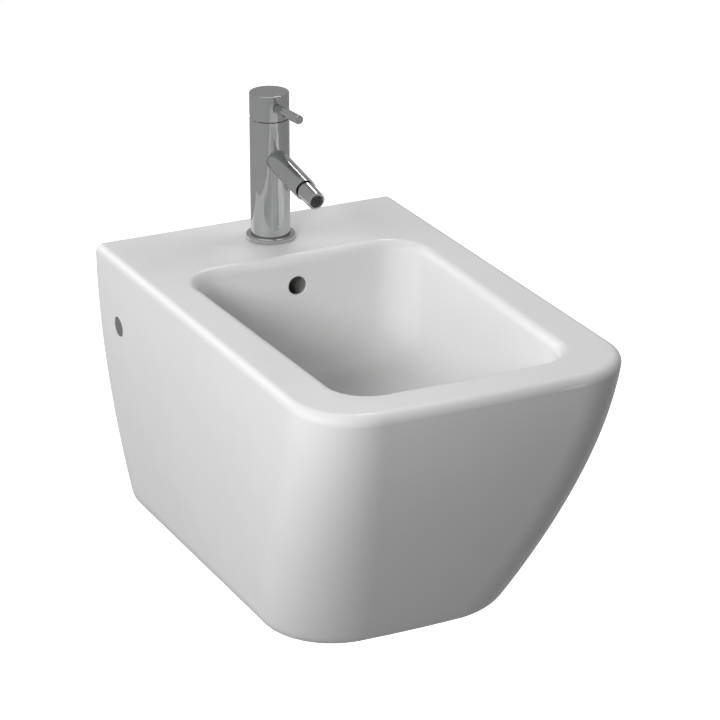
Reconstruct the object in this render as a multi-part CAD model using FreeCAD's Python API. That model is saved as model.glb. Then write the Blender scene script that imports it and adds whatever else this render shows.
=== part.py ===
# Wall-hung bidet with its single-lever mixer, its wall fixings and its push-button waste.
# Millimetres. +Z is up, +Y goes into the wall, X runs along the wall.
# The origin lies on the wall plane, midway between the two wall studs.

import FreeCAD
import Part
import math
import os

# Ceramic body: outer form
BODY_WIDTH = 360.0
BODY_DEPTH = 565.0
BODY_HEIGHT = 331.0
RIM_ABOVE_STUDS = 78.0
SIDE_TAPER = 41.7
SIDE_POWER = 1.82
FRONT_TAPER = 162.0
FRONT_POWER = 1.38
FRONT_BOW = 6.0
CORNER_R_RIM = 70.0
CORNER_R_FOOT = 90.0
RIM_EDGE_R = 9.0
FOOT_EDGE_R = 40.0
FORM_SECTIONS = 5

# Ceramic body: walls round the hollow
SIDE_WALL = 10.0
BACK_WALL = 12.0
DECK_WALL = 13.0
FOOT_WALL = 12.0
BOWL_WALL = 10.0

# Bowl
BOWL_BACK = 131.0
RIM_FRONT = 55.0
RIM_SIDE_BACK = 48.5
RIM_SIDE_FRONT = 56.5
BOWL_BOW = 4.0
BOWL_CORNER_R = 40.0
BOWL_EDGE_R = 10.0
BOWL_DEPTH = 138.0
BOWL_POWER = 5.0
BOWL_SECTIONS = 13
FLOOR_FALL = 8.0
FLOOR_MARGIN = 12.0
FLOOR_FLAT = 8.0

# Overflow
OVERFLOW_R = 10.3
OVERFLOW_BELOW_RIM = 34.0
OVERFLOW_EDGE_R = 1.0
OVERFLOW_WALL = 5.0
DUCT_WIDTH = 26.0
DUCT_DEPTH = 17.0
DUCT_WALL = 8.0
DUCT_TOP_ABOVE_HOLE = 15.0

# Openings in the back and the underside
SERVICE_WIDTH = 116.0
SERVICE_TOP_BELOW_RIM = 98.0
SERVICE_CORNER_R = 24.0
ACCESS_PAST_WASTE = 40.0
WINDOW_MARGIN = 4.0

# Wall fixing: studs, brackets, side screws and their caps
STUD_SPACING = 180.0
STUD_HOLE_R = 6.6
STUD_R = 6.05
PLATE_WIDTH = 54.0
PLATE_HEIGHT = 40.0
PLATE_THICK = 8.0
PLATE_EDGE_TO_STUD = 16.0
ARM_WIDTH = 24.0
ARM_HEIGHT = 26.0
ARM_END = 15.0
ARM_NOSE_R = 6.5
SIDE_SCREW_FROM_WALL = 53.0
SIDE_SCREW_R = 4.0
SIDE_SCREW_HOLE_R = 5.25
SIDE_SCREW_ENTRY = 22.0
SCREW_HEAD_R = 6.5
SCREW_HEAD_H = 8.0
SCREW_SOCKET_AF = 6.0
SCREW_SOCKET_DEPTH = 4.0
SIDE_BOSS_R = 17.0
SIDE_BOSS_LENGTH = 14.0
CAP_HOLE_R = 11.2
CAP_HOLE_DEPTH = 14.5
CAP_GAP = 0.2
CAP_THICK = 2.4
CAP_SKIRT_WALL = 1.4
CAP_SKIRT_LENGTH = 5.0
CAP_RECESS = 0.3
CAP_DOME = 0.5
WASHER_T = 1.6
SCREW_WASHER_R = 9.0
STUD_WASHER_R = 12.0
STUD_WASHER_T = 2.5
STUD_NUT_AF = 18.0
STUD_NUT_H = 10.0
THREAD_GAP = 0.06

# Mixer body and spout
TAP_FROM_WALL = 63.0
TAP_HOLE_R = 17.5
BASE_RING_R = 27.0
BASE_RING_H = 6.0
BASE_RING_EDGE_R = 2.2
BASE_SEAL_INSET = 3.0
BASE_SEAL_WIDTH = 4.0
BASE_SEAL_T = 2.0
MIXER_R = 21.6
MIXER_TOP = 136.2
MIXER_FOOT_GROOVE = 0.8
SPIGOT_HOLE_GAP = 0.5
SPIGOT_DROP = 5.0
SPIGOT_GAP = 0.2
SPOUT_HEIGHT = 96.2
SPOUT_SLOPE = 9.2
SPOUT_ROOT_R = 12.2
SPOUT_END_R = 11.8
SPOUT_LENGTH = 91.0
SPOUT_BORE_R = 5.0
SPOUT_BORE_START = 7.5
INLET_SPREAD = 6.8
INLET_BACK = 5.0
INLET_R = 5.0
INLET_DEPTH = 14.0
WATERWAY_R = 3.5
OUTLET_FORWARD = 9.5
OUTLET_R = 4.2

# Mixer fixing under the deck
STUD_FORWARD = 9.0
FIXING_STUD_R = 4.0
FIXING_STUD_UP = 14.0
FIXING_STUD_DOWN = 44.0
HORSESHOE_BEARING = 4.5
HORSESHOE_MARGIN = 1.2
HORSESHOE_RUBBER_T = 3.0
HORSESHOE_STEEL_T = 3.0
FIXING_NUT_AF = 13.0
FIXING_NUT_H = 18.0

# Cartridge
CHAMBER_WALL = 3.6
CHAMBER_DEPTH = 36.2
CARTRIDGE_GAP = 0.5
CARTRIDGE_BASE_H = 5.0
PORT_SEAL_R = 5.2
PORT_SEAL_WIDTH = 1.3
PORT_SEAL_T = 1.2
FIXED_DISC_R = 13.0
DISC_SIDE_GAP = 0.2
FIXED_DISC_H = 4.0
DISC_PORT_R = 3.0
DISC_PORT_SHARE = 0.8
MOVING_DISC_R = 8.2
MOVING_DISC_H = 4.0
MIX_POCKET_R = 6.0
MIX_POCKET_H = 1.8
CARRIER_R = 8.0
CARRIER_H = 3.5
SOCKET_R = 2.7
DISC_GAP = 0.05
CARRIER_HEADROOM = 0.45
TURRET_R = 10.9
TURRET_GAP = 0.1
TURRET_H = 14.0
TURRET_FLOOR = 2.0
SHOULDER_UP = 7.0
NECK_WALL = 1.9
NECK_H = 5.0
STEM_SLOT = 8.4
PIVOT_UP = 8.0
PIVOT_PIN_R = 1.5
PIVOT_PIN_GAP = 0.04
STEM_HUB_R = 4.0
STEM_SIDE = 7.0
STEM_BELOW_TOP = 8.5
STEM_ARM_R = 1.6
STEM_BALL_R = 2.2
STEM_BALL_UP = 2.4
ARM_SLOT_GAP = 1.0
DISC_BACK_OFFSET = 2.1
NUT_GAP = 0.1
NUT_BORE_GAP = 0.3
NUT_H = 7.0
NUT_SLOT = 4.0
NUT_SLOT_DEPTH = 2.5
DOME_GAP = 0.8
DOME_WALL = 1.2
DOME_OPENING_ANGLE = 46.0
TILT_MAX = 25.0

# Handle
HANDLE_GAP = 1.0
HANDLE_H = 28.3
HANDLE_EDGE_R = 1.3
HANDLE_WALL = 2.8
HANDLE_ROOF = 5.0
HANDLE_BOSS_R = 8.5
HANDLE_BOSS_H = 14.5
HANDLE_TILT_GAP = 0.5
STEM_FIT = 0.1
LEVER_R = 4.9
LEVER_REACH = 54.0
LEVER_RISE = 3.3
LEVER_UP = 14.8
LEVER_TIP_R = 1.4
LEVER_HOLE_GAP = 0.35
LEVER_TANG_R = 2.5
LEVER_TANG_LENGTH = 4.2
LEVER_TANG_GAP = 0.2
GRUB_R = 2.5
GRUB_LENGTH = 5.5
GRUB_SOCKET_AF = 2.5
GRUB_SOCKET_DEPTH = 2.7
GRUB_UP = 14.8
GRUB_PLUG_R = 3.1
GRUB_PLUG_T = 2.2
GRUB_PLUG_RECESS = 0.3

# Swivel nozzle, measured along the spout axis from the ball's centre
SPOUT_LIP = 1.2
SWIVEL_RING_WALL = 1.1
BALL_GAP = 0.08
BALL_INSET = 3.5
BALL_BACK = 7.0
SOCKET_DEPTH = 9.0
RING_BACK = 4.3
BALL_SEAL_FRONT = 4.5
BALL_SEAL_BORE_R = 6.4
NOZZLE_NECK_STEP = 1.6
NOZZLE_SHOULDER_STEP = 1.7
NOZZLE_SHOULDER = 5.6
NOZZLE_TAPER = 0.6
NOZZLE_TIP = 30.5
NOZZLE_TIP_EDGE_R = 0.8
NOZZLE_BORE_R = 5.2
NOZZLE_LIP = 2.4
AERATOR_LENGTH = 15.0
AERATOR_RECESS = 1.4
AERATOR_SEAL_T = 1.5
AERATOR_SEAL_BORE_R = 5.0
AERATOR_HOLE_R = 0.75
AERATOR_HOLE_PITCH = 2.1
AERATOR_RINGS = 2
AERATOR_POCKET_R = 5.6
AERATOR_FACE_T = 1.6

# Waste, measured from the flange's underside
WASTE_FROM_WALL = 290.0
WASTE_HOLE_R = 23.0
FLANGE_R = 32.0
FLANGE_T = 3.5
FLANGE_SIDE_GAP = 0.8
FLANGE_SEAL_T = 2.0
FLANGE_SEAL_INSET = 1.0
COLLAR_WALL = 4.2
COLLAR_LENGTH = 40.0
WASTE_TUBE_GAP = 1.0
THROAT_WALL = 1.0
THROAT_DEPTH = 6.0
WASTE_TUBE_WALL = 3.5
WASTE_TUBE_LENGTH = 68.0
OVERFLOW_SLOT_W = 14.0
OVERFLOW_SLOT_H = 14.0
GUIDE_SEAT = 30.0
GUIDE_LEDGE = 1.5
GUIDE_RING_WALL = 2.5
GUIDE_H = 8.0
GUIDE_HUB_R = 5.0
GUIDE_SPOKE_W = 3.0
GUIDE_SPOKES = 3
SPINDLE_R = 2.5
SPINDLE_GAP = 0.05
SPINDLE_TAIL = 14.0
LOWER_SEAL_INSET = 4.0
LOWER_SEAL_T = 5.0
LOWER_WASHER_T = 2.0
BACK_NUT_AF = 58.0
BACK_NUT_H = 10.0
TAIL_R = 16.0
TAIL_WALL = 1.5
TAIL_FLANGE_T = 4.0
TAIL_SPIGOT_H = 8.0
TAIL_LENGTH = 52.0
PLUG_INSET = 3.0
PLUG_T = 3.2
PLUG_CROWN = 2.4
PLUG_TRAVEL = 8.0
PLUG_CLOSED_GAP = 0.4
PLUG_BOSS_R = 9.0
PLUG_BOSS_H = 7.0
PLUG_SEAL_T = 4.0
PLUG_SEAL_GAP = 0.5
SPRING_R = 6.0
SPRING_WALL = 1.2

# Places that follow from the sizes above
RIM_Z = RIM_ABOVE_STUDS
FOOT_Z = RIM_Z - BODY_HEIGHT
DRAIN_Z = RIM_Z - BOWL_DEPTH
FLANGE_SEAT_Z = DRAIN_Z - FLANGE_T
BOWL_FRONT = BODY_DEPTH - RIM_FRONT
BOWL_HALF_BACK = BODY_WIDTH / 2.0 - RIM_SIDE_BACK
BOWL_HALF_FRONT = BODY_WIDTH / 2.0 - RIM_SIDE_FRONT
FLOOR_HALF = FLANGE_R + FLOOR_MARGIN
FLOOR_CORNER_R = FLOOR_HALF - FLOOR_FLAT / 2.0
ACCESS_DEPTH = WASTE_FROM_WALL + ACCESS_PAST_WASTE
STUD_X = STUD_SPACING / 2.0
ARM_LENGTH = SIDE_SCREW_FROM_WALL + ARM_END
ARM_X_HIGH = STUD_X - PLATE_EDGE_TO_STUD + PLATE_WIDTH
ARM_X_LOW = ARM_X_HIGH - ARM_WIDTH
CAP_R = CAP_HOLE_R - CAP_GAP
SPIGOT_R = TAP_HOLE_R - SPIGOT_HOLE_GAP
BASE_SEAL_R = BASE_RING_R - BASE_SEAL_INSET
HORSESHOE_R = TAP_HOLE_R + HORSESHOE_BEARING
CHAMBER_R = MIXER_R - CHAMBER_WALL
CHAMBER_FLOOR = MIXER_TOP - CHAMBER_DEPTH
CARTRIDGE_R = CHAMBER_R - CARTRIDGE_GAP
DISC_CHAMBER_R = FIXED_DISC_R + DISC_SIDE_GAP
DISC_LOW = CHAMBER_FLOOR + CARTRIDGE_BASE_H
MOVING_LOW = DISC_LOW + FIXED_DISC_H + DISC_GAP
CARRIER_LOW = MOVING_LOW + MOVING_DISC_H
TURRET_LOW = CARRIER_LOW + CARRIER_H + CARRIER_HEADROOM
TURRET_TOP = TURRET_LOW + TURRET_H
NECK_R = TURRET_R + TURRET_GAP + NECK_WALL
SHOULDER_HEIGHT = TURRET_LOW + SHOULDER_UP
NECK_TOP = SHOULDER_HEIGHT + NECK_H
NUT_TOP = SHOULDER_HEIGHT + NUT_H
PIVOT_HEIGHT = TURRET_LOW + PIVOT_UP
STEM_BALL_Z = CARRIER_LOW + STEM_BALL_UP
HANDLE_LOW = MIXER_TOP + HANDLE_GAP
HANDLE_TOP = HANDLE_LOW + HANDLE_H
HANDLE_BOSS_LOW = HANDLE_TOP - HANDLE_ROOF - HANDLE_BOSS_H
STEM_TOP = HANDLE_TOP - STEM_BELOW_TOP
LEVER_HEIGHT = HANDLE_LOW + LEVER_UP
GRUB_HEIGHT = HANDLE_LOW + GRUB_UP
DOME_R = MIXER_R - HANDLE_WALL - DOME_GAP
BALL_REACH = SPOUT_LENGTH - BALL_INSET
SOCKET_BORE_R = SPOUT_END_R - SPOUT_LIP
BALL_R = SOCKET_BORE_R - SWIVEL_RING_WALL
NOZZLE_NECK_R = BALL_R - NOZZLE_NECK_STEP
NOZZLE_SHOULDER_R = SPOUT_END_R - NOZZLE_SHOULDER_STEP
NOZZLE_TIP_R = NOZZLE_SHOULDER_R - NOZZLE_TAPER
AERATOR_R = NOZZLE_TIP_R - NOZZLE_LIP
AERATOR_TIP = NOZZLE_TIP - AERATOR_RECESS
AERATOR_BACK = AERATOR_TIP - AERATOR_LENGTH
COLLAR_R = FLANGE_R + FLANGE_SIDE_GAP + COLLAR_WALL
COLLAR_FOOT = -FLANGE_SEAL_T - COLLAR_LENGTH
FLANGE_SEAL_INNER_R = WASTE_HOLE_R + FLANGE_SEAL_INSET
LOWER_SEAL_R = COLLAR_R - LOWER_SEAL_INSET
WASTE_TUBE_R = WASTE_HOLE_R - WASTE_TUBE_GAP
WASTE_TUBE_BORE_R = WASTE_TUBE_R - WASTE_TUBE_WALL
THROAT_R = WASTE_TUBE_R - THROAT_WALL
GUIDE_SEAT_BORE_R = WASTE_TUBE_BORE_R - GUIDE_LEDGE
TAIL_BORE_R = TAIL_R - TAIL_WALL
PLUG_R = FLANGE_R - PLUG_INSET
PLUG_LOW = FLANGE_T + PLUG_CLOSED_GAP + PLUG_TRAVEL

# How far a cutting form runs past the face that it opens, and how near an edge lies to a plane to be on it
PAST = 1.0
NEAR = 0.01
FAR = 1000.0

V = FreeCAD.Vector
X_AXIS = V(1, 0, 0)
Y_AXIS = V(0, 1, 0)
Z_AXIS = V(0, 0, 1)
ORIGIN = V(0, 0, 0)


# Helpers

def rod(radius, low, high, x=0.0, y=0.0):
    """An upright cylinder between two heights."""
    return Part.makeCylinder(radius, high - low, V(x, y, low))


def ring(outer, inner, low, high, x=0.0, y=0.0):
    """An upright ring between two heights."""
    return rod(outer, low, high, x, y).cut(rod(inner, low, high, x, y))


def block(x_low, x_high, y_low, y_high, z_low, z_high):
    """A box between six planes."""
    return Part.makeBox(x_high - x_low, y_high - y_low, z_high - z_low, V(x_low, y_low, z_low))


def hexagon(across_flats, low, high, bore=0.0):
    """An upright hexagonal prism, with a bore where one is given."""
    reach = across_flats / math.sqrt(3.0)
    corners = [V(reach * math.cos(math.radians(60 * i)), reach * math.sin(math.radians(60 * i)), low)
               for i in range(7)]
    prism = Part.Face(Part.makePolygon(corners)).extrude(V(0, 0, high - low))
    if bore > 0.0:
        prism = prism.cut(rod(bore, low, high))
    return prism


def turned(profile):
    """A solid of revolution about Z from (radius, height) points."""
    points = [V(radius, 0, height) for radius, height in profile]
    return Part.Face(Part.makePolygon(points + points[:1])).revolve(ORIGIN, Z_AXIS, 360)


def moved(shape, x=0.0, y=0.0, z=0.0):
    """A copy of a shape, shifted."""
    copy = shape.copy()
    copy.translate(V(x, y, z))
    return copy


def turned_about(shape, axis, degrees, centre=ORIGIN):
    """A copy of a shape, turned about an axis."""
    copy = shape.copy()
    copy.rotate(centre, axis, degrees)
    return copy


def mirrored(shape):
    """The left twin of a piece on the right."""
    return shape.mirror(ORIGIN, X_AXIS)


def both(shape):
    """A right-hand piece and its left twin, as separate solids of one node."""
    return Part.makeCompound([shape, mirrored(shape)])


def edges_where(shape, test):
    """The edges of a shape whose bounding box passes a test."""
    return [edge for edge in shape.Edges if test(edge.BoundBox)]


def rounded_edge_rod(radius, low, high, edge_r):
    """An upright cylinder with its upper edge rounded."""
    shape = rod(radius, low, high)
    rim = edges_where(shape, lambda box: box.ZMin > high - NEAR)
    return shape.makeFillet(edge_r, rim)


def on_deck(shape):
    """Carry a piece from the mixer's own axis to its place on the deck."""
    return moved(shape, 0.0, -TAP_FROM_WALL, RIM_Z)


def on_spout(shape):
    """Carry a piece from the ball's centre to the end of the spout."""
    slope = math.radians(SPOUT_SLOPE)
    aimed = turned_about(shape, X_AXIS, 90.0 + SPOUT_SLOPE)
    reach = BALL_REACH * math.cos(slope)
    height = SPOUT_HEIGHT - BALL_REACH * math.sin(slope)
    return on_deck(moved(aimed, 0.0, -reach, height))


def at_drain(shape):
    """Carry a piece from the waste's own axis to its seat in the bowl."""
    return moved(shape, 0.0, -WASTE_FROM_WALL, FLANGE_SEAT_Z)


def at_side_screw(shape):
    """Turn an upright piece to point out of the right side, on the side screw's axis."""
    return moved(turned_about(shape, Y_AXIS, 90.0), 0.0, -SIDE_SCREW_FROM_WALL, 0.0)


def at_stud(shape):
    """Turn an upright piece to point away from the wall, on the right wall stud's axis."""
    return moved(turned_about(shape, X_AXIS, 90.0), STUD_X, 0.0, 0.0)


# Ceramic body

def rounded_outline(corners, z):
    """A closed outline of lines and tangent arcs.

    Each corner is (x, y, radius). A radius of None is as large as the neighbours leave room for.
    """
    count = len(corners)
    points = [V(x, y, z) for x, y, _ in corners]
    ahead = [points[(i + 1) % count] - points[i] for i in range(count)]
    runs = [step.Length for step in ahead]
    units = [step * (1.0 / step.Length) for step in ahead]
    half_turns = [units[i - 1].getAngle(units[i]) / 2.0 for i in range(count)]
    reach = [0.0 if corner[2] is None else corner[2] * math.tan(half)
             for corner, half in zip(corners, half_turns)]
    for i in range(count):
        if corners[i][2] is None:
            before = runs[i - 1] - reach[i - 1]
            after = runs[i] - reach[(i + 1) % count]
            reach[i] = min(before, after)
    edges = []
    for i in range(count):
        start = points[i] - units[i - 1] * reach[i]
        end = points[i] + units[i] * reach[i]
        if reach[i] > 0.0:
            radius = reach[i] / math.tan(half_turns[i])
            inward = (units[i] - units[i - 1]).normalize()
            middle = points[i] + inward * (radius / math.cos(half_turns[i]) - radius)
            edges.append(Part.Arc(start, middle, end).toShape())
        following = (i + 1) % count
        next_start = points[following] - units[i] * reach[following]
        if (next_start - end).Length > NEAR:
            edges.append(Part.LineSegment(end, next_start).toShape())
    return Part.Wire(edges)


def half_width(share):
    """Half the body's width at a share of its height below the rim."""
    return BODY_WIDTH / 2.0 - SIDE_TAPER * share ** SIDE_POWER


def front_reach(share):
    """The body's reach from the wall at a share of its height below the rim."""
    return BODY_DEPTH - FRONT_TAPER * share ** FRONT_POWER


def body_section(share, wall, back):
    """One level outline of the body, set in by a wall."""
    half = half_width(share) - wall
    front = front_reach(share) - wall
    corner = CORNER_R_RIM + (CORNER_R_FOOT - CORNER_R_RIM) * share - wall
    corners = [(-half, -back, 0.0), (half, -back, 0.0), (half, FRONT_BOW - front, corner),
               (0.0, -front, None), (-half, FRONT_BOW - front, corner)]
    return rounded_outline(corners, RIM_Z - share * BODY_HEIGHT)


def body_form(wall, back, share_low, share_high):
    """The body's tapering form between two levels, set in by a wall."""
    steps = [share_low + (share_high - share_low) * i / (FORM_SECTIONS - 1) for i in range(FORM_SECTIONS)]
    return Part.makeLoft([body_section(share, wall, back) for share in steps], True, False)


def outer_form():
    """The solid outer form, with its rounded rim and foot, cut flat at the wall plane."""
    form = body_form(0.0, -PAST, 0.0, 1.0)
    rim = edges_where(form, lambda box: box.ZMin > RIM_Z - NEAR and box.YMin < -NEAR)
    form = form.makeFillet(RIM_EDGE_R, rim)
    foot = edges_where(form, lambda box: box.ZMax < FOOT_Z + NEAR and box.YMin < -NEAR)
    form = form.makeFillet(FOOT_EDGE_R, foot)
    return form.cut(block(-FAR, FAR, 0.0, FAR, -FAR, FAR))


def hollow_form():
    """The hollow inside the outer walls, rounded along the foot as the outside is."""
    low = FOOT_Z + FOOT_WALL
    form = body_form(SIDE_WALL, BACK_WALL, DECK_WALL / BODY_HEIGHT, 1.0 - FOOT_WALL / BODY_HEIGHT)
    foot = edges_where(form, lambda box: box.ZMax < low + NEAR and box.YMin < -BACK_WALL - NEAR)
    return form.makeFillet(FOOT_EDGE_R - SIDE_WALL, foot)


def bowl_section(turn, wall):
    """One level outline of the bowl, from upright at the rim (0) to flat on the floor (90 degrees)."""
    level = max(math.cos(math.radians(turn)), 0.0)
    upright = math.sin(math.radians(turn))
    reach = (level ** BOWL_POWER + upright ** BOWL_POWER) ** (1.0 / BOWL_POWER)
    close = 1.0 - level / reach
    depth = (BOWL_DEPTH + wall - FLOOR_FALL) * upright / reach + FLOOR_FALL * close
    half_back = BOWL_HALF_BACK + (FLOOR_HALF - BOWL_HALF_BACK) * close + wall
    half_front = BOWL_HALF_FRONT + (FLOOR_HALF - BOWL_HALF_FRONT) * close + wall
    back = BOWL_BACK + (WASTE_FROM_WALL - FLOOR_HALF - BOWL_BACK) * close - wall
    front = BOWL_FRONT + (WASTE_FROM_WALL + FLOOR_HALF - BOWL_FRONT) * close + wall
    corner = BOWL_CORNER_R + (FLOOR_CORNER_R - BOWL_CORNER_R) * close + wall
    corners = [(-half_back, -back, corner), (half_back, -back, corner),
               (half_front, BOWL_BOW - front, corner), (0.0, -front, None),
               (-half_front, BOWL_BOW - front, corner)]
    return rounded_outline(corners, RIM_Z - depth)


def bowl_form(wall):
    """The bowl's hollow, or with a wall the outside of the bowl."""
    turns = [90.0 * i / (BOWL_SECTIONS - 1) for i in range(BOWL_SECTIONS)]
    return Part.makeLoft([bowl_section(turn, wall) for turn in turns], True, False)


def overflow_channel(wall):
    """The overflow's way from the bowl's back wall down and forward to the waste, or its outside."""
    half = DUCT_WIDTH / 2.0 + wall
    front = BOWL_BACK - OVERFLOW_WALL
    rear = front - DUCT_DEPTH - wall
    top = RIM_Z - OVERFLOW_BELOW_RIM + DUCT_TOP_ABOVE_HOLE + wall
    low = FLANGE_SEAT_Z + COLLAR_FOOT + DUCT_WALL - wall
    high = low + DUCT_DEPTH + 2.0 * wall
    upright = block(-half, half, -front - wall, -rear, low, top)
    level = block(-half, half, -WASTE_FROM_WALL, -rear, low, high)
    return upright.fuse(level)


def overflow_hole():
    """The round hole through the bowl's back wall, with an eased mouth."""
    y_bowl = -BOWL_BACK
    mouth = OVERFLOW_R + OVERFLOW_EDGE_R
    hole = rod(OVERFLOW_R, -OVERFLOW_WALL - DUCT_DEPTH / 2.0, BOWL_WALL)
    ease = Part.makeCone(OVERFLOW_R, mouth + BOWL_WALL, OVERFLOW_EDGE_R + BOWL_WALL,
                         V(0, 0, -OVERFLOW_EDGE_R))
    drill = turned_about(hole.fuse(ease), X_AXIS, 90.0)
    return moved(drill, 0.0, y_bowl, RIM_Z - OVERFLOW_BELOW_RIM)


def side_boss():
    """The ceramic boss that carries the right side screw."""
    inner = half_width(RIM_Z / BODY_HEIGHT) - SIDE_WALL - SIDE_BOSS_LENGTH
    return at_side_screw(rod(SIDE_BOSS_R, inner, inner + SIDE_BOSS_LENGTH + SIDE_WALL))


def cap_floor_x():
    """Where the side screw's washer rests."""
    return half_width(RIM_Z / BODY_HEIGHT) - CAP_HOLE_DEPTH


def side_hole():
    """The right side screw's hole, with the wider seat for its cap."""
    wide = rod(CAP_HOLE_R, cap_floor_x(), BODY_WIDTH)
    through = rod(SIDE_SCREW_HOLE_R, STUD_X, BODY_WIDTH)
    return at_side_screw(wide.fuse(through))


def bracket_window():
    """The opening in the ceramic back that the right bracket stands in."""
    low = STUD_X - PLATE_EDGE_TO_STUD - WINDOW_MARGIN
    high = ARM_X_HIGH + WINDOW_MARGIN
    half = PLATE_HEIGHT / 2.0 + WINDOW_MARGIN
    return block(low, high, -BACK_WALL - PAST, PAST, -half, half)


def service_opening():
    """The opening for pipes: up the back from the foot, and forward along the underside."""
    half = SERVICE_WIDTH / 2.0
    top = RIM_Z - SERVICE_TOP_BELOW_RIM
    back = block(-half, half, -BACK_WALL - PAST, PAST, FOOT_Z - PAST, top)
    arch = edges_where(back, lambda box: box.ZMin > top - NEAR and box.XLength < NEAR)
    back = back.makeFillet(SERVICE_CORNER_R, arch)
    under = block(-half, half, -ACCESS_DEPTH, PAST, FOOT_Z - PAST, FOOT_Z + FOOT_WALL + PAST)
    front = edges_where(under, lambda box: box.YMax < NEAR - ACCESS_DEPTH and box.ZLength > NEAR)
    under = under.makeFillet(SERVICE_CORNER_R, front)
    return back.fuse(under)


def waste_opening():
    """The waste's hole through the collar, with the recess that the flange lies in."""
    recess = rod(FLANGE_R + FLANGE_SIDE_GAP, -FLANGE_SEAL_T, FLANGE_T + PAST)
    return at_drain(recess.fuse(rod(WASTE_HOLE_R, COLLAR_FOOT - PAST, 0.0)))


def ceramic_body():
    """The glazed body: outer form, bowl, hollow and holes."""
    body = outer_form().cut(bowl_form(0.0))
    half = BOWL_HALF_BACK + PAST
    rim = edges_where(body, lambda box: box.ZMin > RIM_Z - NEAR and box.YMax < PAST - BOWL_BACK
                      and box.YMin > -BOWL_FRONT - PAST and box.XMax < half and box.XMin > -half)
    body = body.makeFillet(BOWL_EDGE_R, rim)
    hollow = hollow_form()
    collar = at_drain(rod(COLLAR_R, COLLAR_FOOT, FLANGE_T))
    boss = side_boss()
    hollow = hollow.cut([bowl_form(BOWL_WALL), collar, overflow_channel(DUCT_WALL), boss, mirrored(boss)])
    body = body.cut(hollow)
    tap_hole = on_deck(rod(TAP_HOLE_R, -DECK_WALL - PAST, PAST))
    hole = side_hole()
    window = bracket_window()
    cuts = [tap_hole, waste_opening(), overflow_channel(0.0), overflow_hole(), hole, mirrored(hole),
            window, mirrored(window), service_opening()]
    return body.cut(cuts)


# Wall fixing, right side

def wall_bracket():
    """The steel bracket: a plate on the wall stud and an arm for the side screw."""
    half = PLATE_HEIGHT / 2.0
    plate = block(STUD_X - PLATE_EDGE_TO_STUD, ARM_X_HIGH, -PLATE_THICK, 0.0, -half, half)
    arm = block(ARM_X_LOW, ARM_X_HIGH, -ARM_LENGTH, -PLATE_THICK, -ARM_HEIGHT / 2.0, ARM_HEIGHT / 2.0)
    nose = edges_where(arm, lambda box: box.YMax < NEAR - ARM_LENGTH and box.ZLength < NEAR)
    arm = arm.makeFillet(ARM_NOSE_R, nose)
    bracket = plate.fuse(arm).removeSplitter()
    stud_hole = at_stud(rod(STUD_HOLE_R, -PAST, PLATE_THICK + PAST))
    screw_hole = at_side_screw(rod(SIDE_SCREW_R + THREAD_GAP, ARM_X_LOW - PAST, ARM_X_HIGH + PAST))
    return bracket.cut([stud_hole, screw_hole])


def bracket_washer():
    """The washer on the bracket's plate."""
    return at_stud(ring(STUD_WASHER_R, STUD_HOLE_R, PLATE_THICK, PLATE_THICK + STUD_WASHER_T))


def bracket_nut():
    """The nut that clamps the bracket to the wall."""
    low = PLATE_THICK + STUD_WASHER_T
    return at_stud(hexagon(STUD_NUT_AF, low, low + STUD_NUT_H, STUD_R + THREAD_GAP))


def screw_washer():
    """The washer under the side screw's head."""
    low = cap_floor_x()
    return at_side_screw(ring(SCREW_WASHER_R, SIDE_SCREW_R + THREAD_GAP, low, low + WASHER_T))


def side_screw():
    """The socket screw that draws the ceramic on to the bracket."""
    head_low = cap_floor_x() + WASHER_T
    head_high = head_low + SCREW_HEAD_H
    shank = rod(SIDE_SCREW_R, ARM_X_HIGH - SIDE_SCREW_ENTRY, head_low)
    socket = hexagon(SCREW_SOCKET_AF, head_high - SCREW_SOCKET_DEPTH, head_high)
    return at_side_screw(shank.fuse(rod(SCREW_HEAD_R, head_low, head_high)).cut(socket))


def side_cap():
    """The push-in cap that hides the side screw."""
    face = half_width(RIM_Z / BODY_HEIGHT) - CAP_RECESS
    back = face - CAP_THICK
    skirt = back - CAP_SKIRT_LENGTH
    inner = CAP_R - CAP_SKIRT_WALL
    profile = [(0.0, back), (inner, back), (inner, skirt), (CAP_R, skirt), (CAP_R, face - CAP_DOME),
               (CAP_R - CAP_DOME, face), (0.0, face)]
    return at_side_screw(turned(profile))


# Mixer body and its fixing, on the mixer's own axis with the deck at height 0

def base_ring():
    """The ring that the mixer stands on."""
    body = rounded_edge_rod(BASE_RING_R, 0.0, BASE_RING_H, BASE_RING_EDGE_R)
    groove = ring(BASE_SEAL_R, BASE_SEAL_R - BASE_SEAL_WIDTH, 0.0, BASE_SEAL_T)
    return body.cut([rod(SPIGOT_R + SPIGOT_GAP, -PAST, BASE_RING_H + PAST), groove])


def base_seal():
    """The flat seal in the ring's underside."""
    return ring(BASE_SEAL_R - THREAD_GAP, BASE_SEAL_R - BASE_SEAL_WIDTH + THREAD_GAP, 0.0, BASE_SEAL_T)


def spout_form(start_r, end_r, start, end):
    """A round form along the spout's axis, from the mixer's axis outward."""
    slope = math.radians(SPOUT_SLOPE)
    aim = V(0, -math.cos(slope), -math.sin(slope))
    foot = V(0, 0, SPOUT_HEIGHT) + aim * start
    if abs(start_r - end_r) < NEAR:
        return Part.makeCylinder(start_r, end - start, foot, aim)
    return Part.makeCone(start_r, end_r, end - start, foot, aim)


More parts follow.
